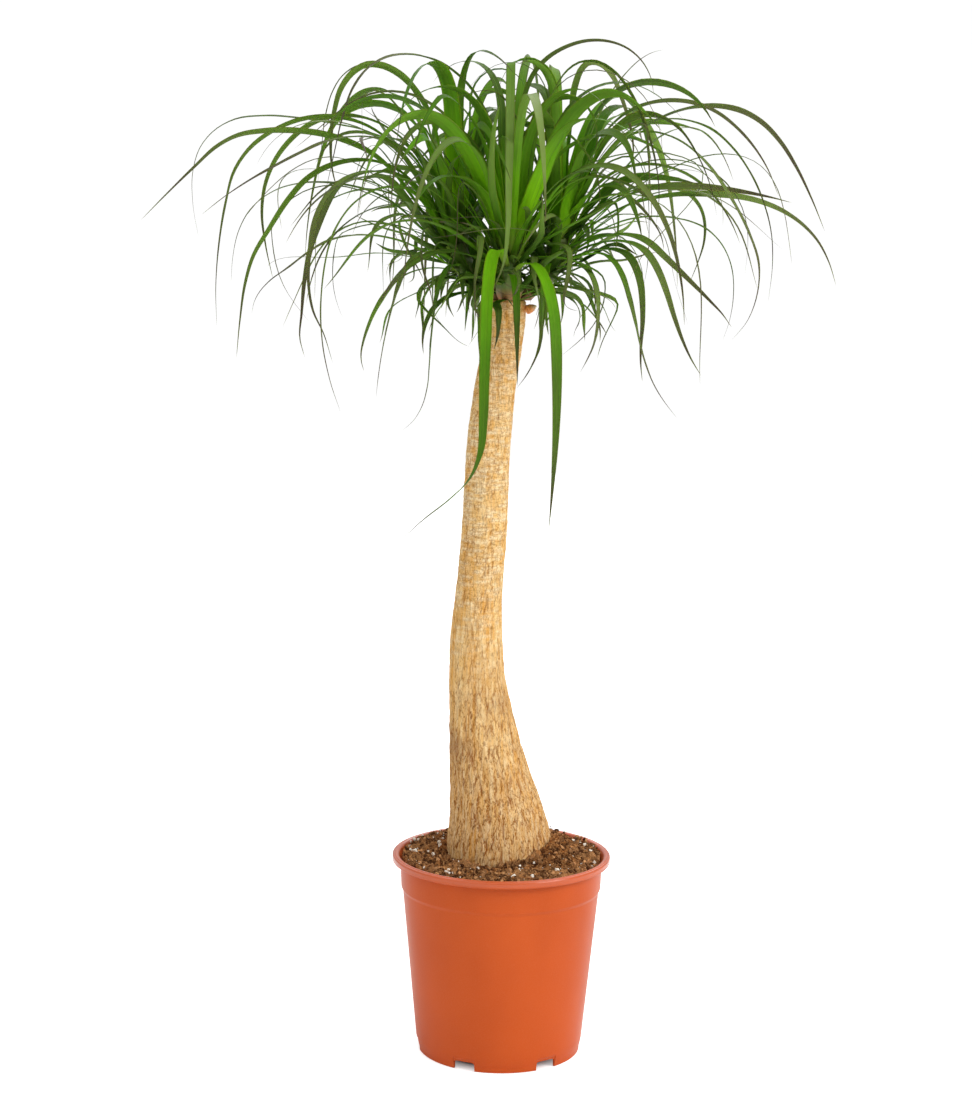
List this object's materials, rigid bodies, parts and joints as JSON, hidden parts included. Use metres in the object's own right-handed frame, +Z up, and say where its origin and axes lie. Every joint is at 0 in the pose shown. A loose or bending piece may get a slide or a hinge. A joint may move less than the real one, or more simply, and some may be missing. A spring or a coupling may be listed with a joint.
{
  "type": "potted ponytail palm",
  "caption": "Ponytail palm with a swollen tan trunk and heads of long arching strap leaves, growing in soil in a round tapered terracotta-coloured nursery pot on notched feet.",
  "frame": {"origin": "on the pot's axis, in the plane that its feet stand on", "axes": "+Z up along the pot's axis; -Y is the front, towards the leaf that hangs down in front of the trunk; +X is the viewer's right from the front"},
  "size_m": [0.738, 0.6383, 1.0973],
  "materials": {
    "pot": "satin moulded plastic, terracotta orange",
    "soil": "rough, moist peat with bark crumbs and perlite",
    "bark": "rough, fissured corky bark",
    "bud": "matt, orange with a cream tip",
    "shoot": "matt, wrapped in leaf bases",
    "leaf": "satin, leathery strap leaf"
  },
  "bodies": {
    "root": {"pot": "pot", "potting_soil": "soil", "trunk": "bark", "side_bud": "bud", "shoot_left": "shoot", "shoot_front": "shoot", "shoot_right": "shoot", "leaf_front_01": "leaf", "leaf_front_02": "leaf", "leaf_front_03": "leaf", "leaf_front_04": "leaf", "leaf_front_05": "leaf", "leaf_front_06": "leaf", "leaf_front_07": "leaf", "leaf_front_08": "leaf", "leaf_front_09": "leaf", "leaf_front_10": "leaf", "leaf_front_11": "leaf", "leaf_front_12": "leaf", "leaf_left_01": "leaf", "leaf_left_02": "leaf", "leaf_left_03": "leaf", "leaf_left_04": "leaf", "leaf_left_05": "leaf", "leaf_left_06": "leaf", "leaf_left_07": "leaf", "leaf_left_08": "leaf", "leaf_left_09": "leaf", "leaf_left_10": "leaf", "leaf_left_11": "leaf", "leaf_left_12": "leaf", "leaf_left_13": "leaf", "leaf_left_14": "leaf", "leaf_left_15": "leaf", "leaf_left_16": "leaf", "leaf_left_17": "leaf", "leaf_left_18": "leaf", "leaf_left_19": "leaf", "leaf_right_01": "leaf", "leaf_right_02": "leaf", "leaf_right_03": "leaf", "leaf_right_04": "leaf", "leaf_right_05": "leaf", "leaf_right_06": "leaf", "leaf_right_07": "leaf", "leaf_right_08": "leaf", "leaf_right_09": "leaf", "leaf_right_10": "leaf", "leaf_right_11": "leaf", "leaf_right_12": "leaf", "leaf_right_13": "leaf", "leaf_right_14": "leaf", "leaf_right_15": "leaf", "leaf_right_16": "leaf", "leaf_right_17": "leaf", "leaf_right_18": "leaf", "leaf_right_19": "leaf", "leaf_right_20": "leaf"}
  },
  "joints": []
}
